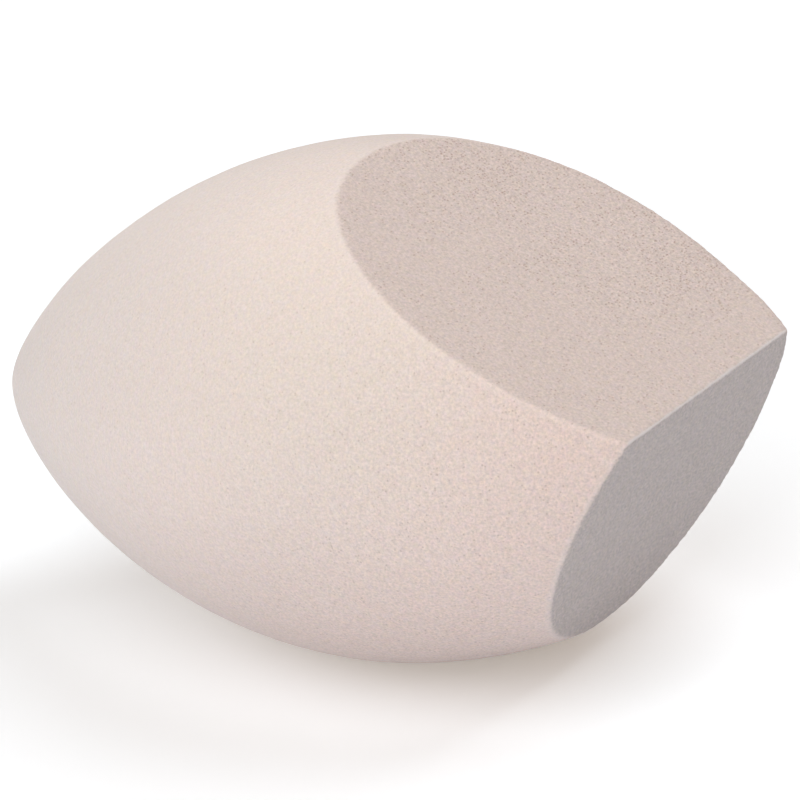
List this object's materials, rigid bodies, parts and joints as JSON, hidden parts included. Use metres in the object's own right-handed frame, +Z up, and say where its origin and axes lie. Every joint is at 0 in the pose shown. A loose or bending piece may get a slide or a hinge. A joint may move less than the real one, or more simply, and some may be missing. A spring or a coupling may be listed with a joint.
{
  "type": "makeup sponge",
  "caption": "Olive-shaped block of soft foam with a blunt pointed tip and one end sliced by two flat faces that meet in a ridge, for dabbing and smoothing makeup.",
  "frame": {"origin": "on the small flat that the sponge rests on, straight below the lowest point of its round body", "axes": "+X along the sponge from its tip towards its sliced end, +Z up from the surface it rests on, +Y across it, parallel to the ridge between the two cuts"},
  "size_m": [0.0642, 0.038, 0.0377],
  "materials": {
    "foam": "matt pale cream-pink polyurethane foam with a fine open-cell grain, a little smoother on the moulded skin than on the cut faces"
  },
  "bodies": {
    "root": {"foam_body": "foam"}
  },
  "joints": []
}
